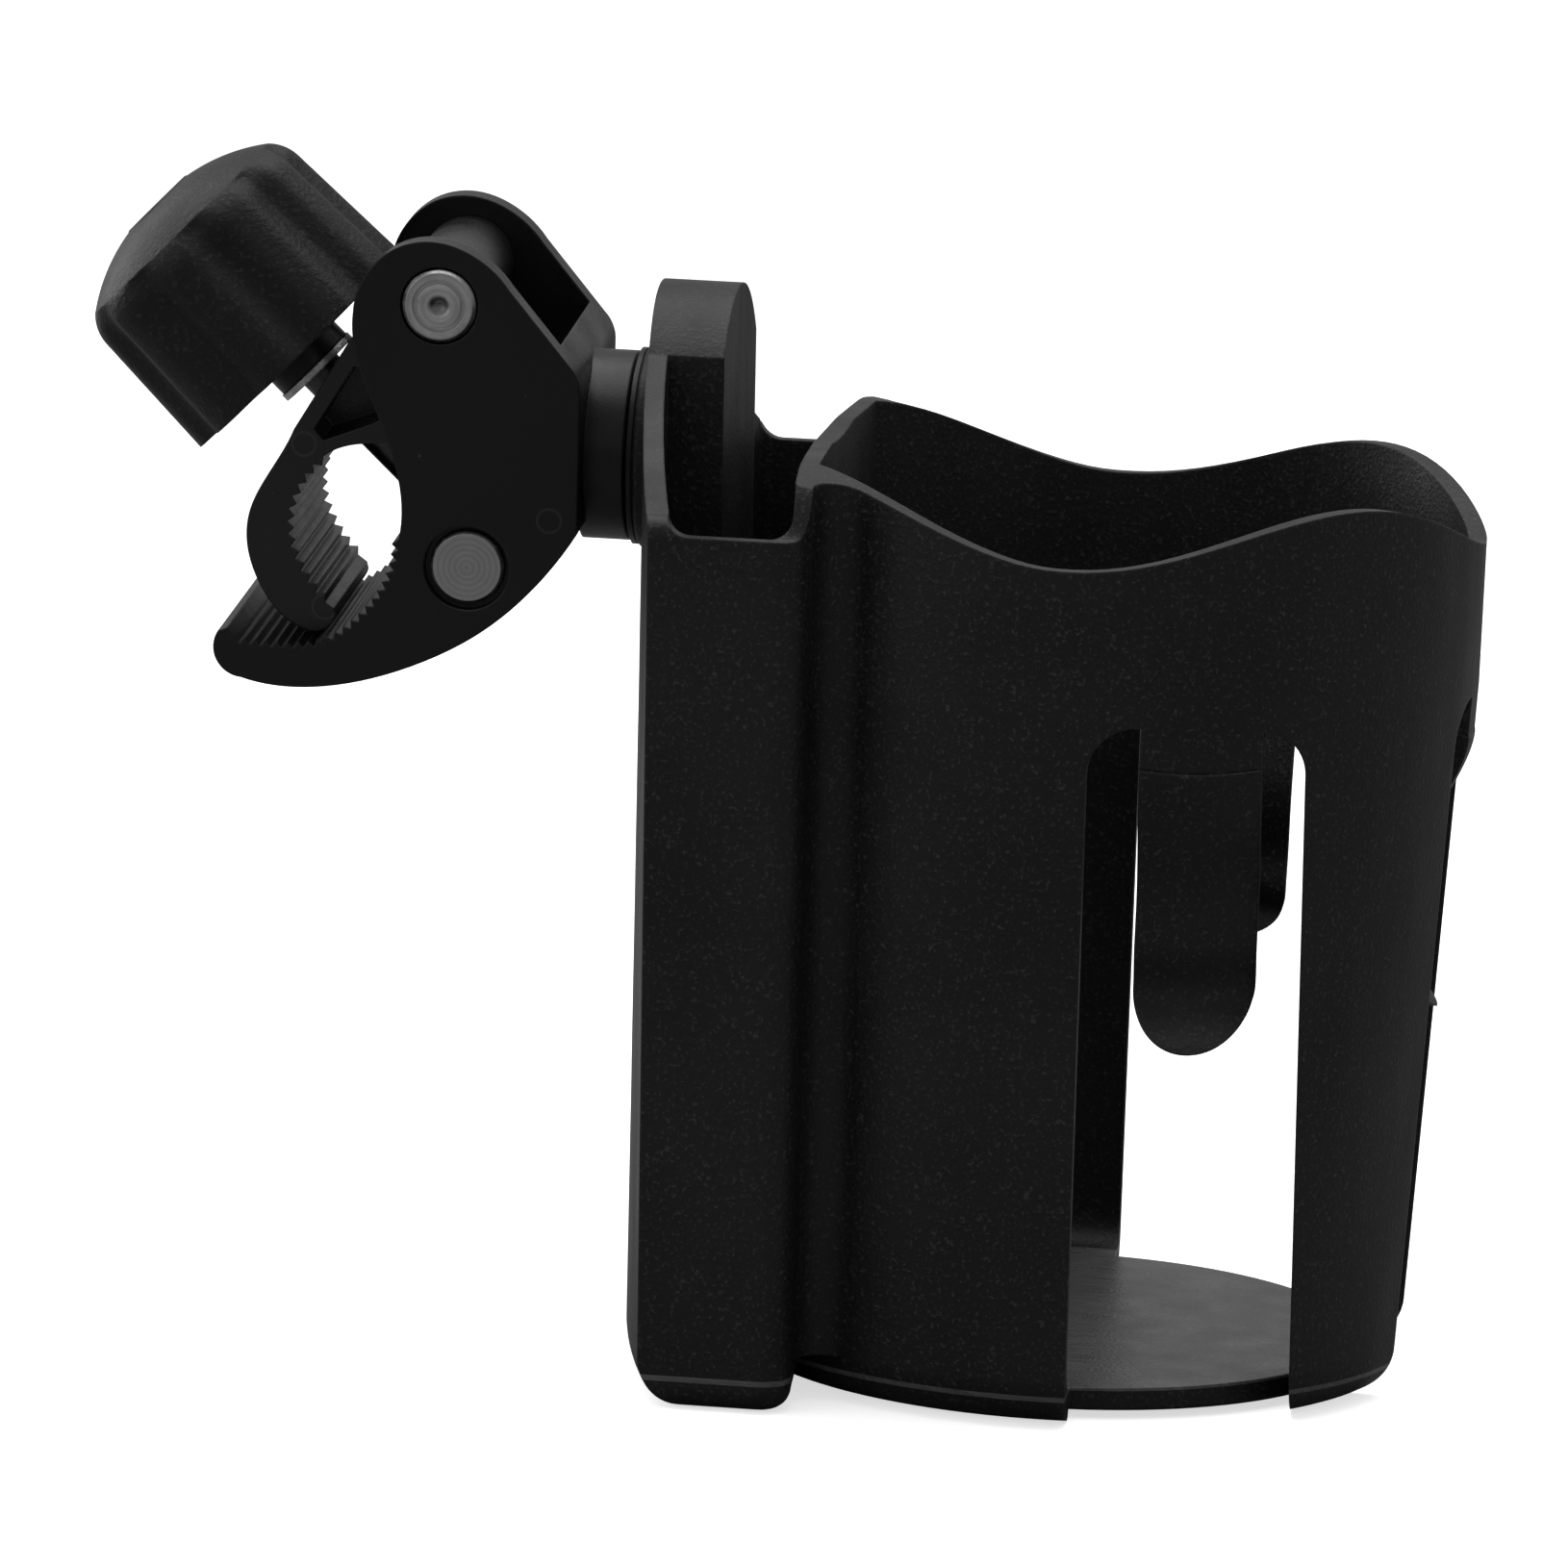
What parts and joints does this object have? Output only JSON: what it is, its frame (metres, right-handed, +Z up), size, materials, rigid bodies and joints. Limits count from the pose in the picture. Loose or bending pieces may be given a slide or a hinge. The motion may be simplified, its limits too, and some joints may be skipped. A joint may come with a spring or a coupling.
{
  "type": "desk clamp cup holder",
  "caption": "Open-slotted round cup holder with a flat side pocket, on a swivelling screw clamp with toothed jaws for a desk edge or bar.",
  "frame": {"origin": "on the cup's axis, at the top of its floor", "axes": "+X from the clamp to the cup, +Y from front to back, +Z up"},
  "size_m": [0.1532, 0.086, 0.1289],
  "materials": {
    "holder_plastic": "satin, fine moulded texture",
    "clamp_plastic": "smooth satin",
    "knob_plastic": "pitted grip texture",
    "collar_plastic": "smooth",
    "pin_steel": "turned",
    "zinc_steel": "zinc plated"
  },
  "bodies": {
    "holder": {"holder_body": "holder_plastic", "swivel_bolt": "zinc_steel", "swivel_nut": "zinc_steel", "swivel_washer": "zinc_steel", "swivel_disc": "collar_plastic"},
    "clamp": {"clamp_body": "clamp_plastic", "jaw_pivot_pin": "pin_steel"},
    "jaw": {"moving_jaw": "clamp_plastic"},
    "barrel_nut": {"barrel_nut": "pin_steel"},
    "screw_washer": {"screw_washer": "zinc_steel"},
    "knob": {"knob": "knob_plastic", "knob_cap": "knob_plastic", "knob_collar": "collar_plastic", "clamp_screw": "zinc_steel"},
    "tongue_front": {"grip_tongue_front": "holder_plastic"},
    "tongue_rear": {"grip_tongue_rear": "holder_plastic"},
    "tongue_side": {"grip_tongue_side": "holder_plastic"}
  },
  "joints": [
    {"name": "clamp_swivel", "type": "hinge", "parent": "holder", "child": "clamp", "pos_m": [-0.0507, 0, 0.09455], "axis": [1, 0, 0], "continuous": true},
    {"name": "jaw_pivot", "type": "hinge", "parent": "clamp", "child": "jaw", "pos_m": [-0.0712, -0.00183, 0.11195], "axis": [0, 0.9945, 0.1045], "range_deg": [0, 22.05]},
    {"name": "nut_swing", "type": "hinge", "parent": "clamp", "child": "barrel_nut", "pos_m": [-0.0677, 0.00119, 0.08321], "axis": [0, 0.9945, 0.1045], "range_deg": [0, 3.75]},
    {"name": "screw_travel", "type": "slide", "parent": "barrel_nut", "child": "screw_washer", "axis": [-0.7218, -0.0723, 0.6884], "range_m": [0, 0.00686]},
    {"name": "knob_turn", "type": "hinge", "parent": "screw_washer", "child": "knob", "pos_m": [-0.0887, -0.00091, 0.10324], "axis": [-0.7218, -0.0723, 0.6884], "range_deg": [0, 3078]},
    {"name": "tongue_front_flex", "type": "hinge", "parent": "holder", "child": "tongue_front", "pos_m": [0.01407, -0.03796, 0.06725], "axis": [-0.9377, -0.3474, 0], "range_deg": [0, 8]},
    {"name": "tongue_rear_flex", "type": "hinge", "parent": "holder", "child": "tongue_rear", "pos_m": [0.01407, 0.03796, 0.06725], "axis": [0.9377, -0.3474, 0], "range_deg": [0, 8]},
    {"name": "tongue_side_flex", "type": "hinge", "parent": "holder", "child": "tongue_side", "pos_m": [0.04048, 0, 0.06725], "axis": [0, -1, 0], "range_deg": [0, 8]}
  ],
  "couplings": [
    {"joint": "jaw_pivot", "follows": "knob_turn", "ratio": 0.0071475},
    {"joint": "nut_swing", "follows": "knob_turn", "ratio": 0.0012086},
    {"joint": "screw_travel", "follows": "knob_turn", "m_per_rad": 0.00012732}
  ]
}
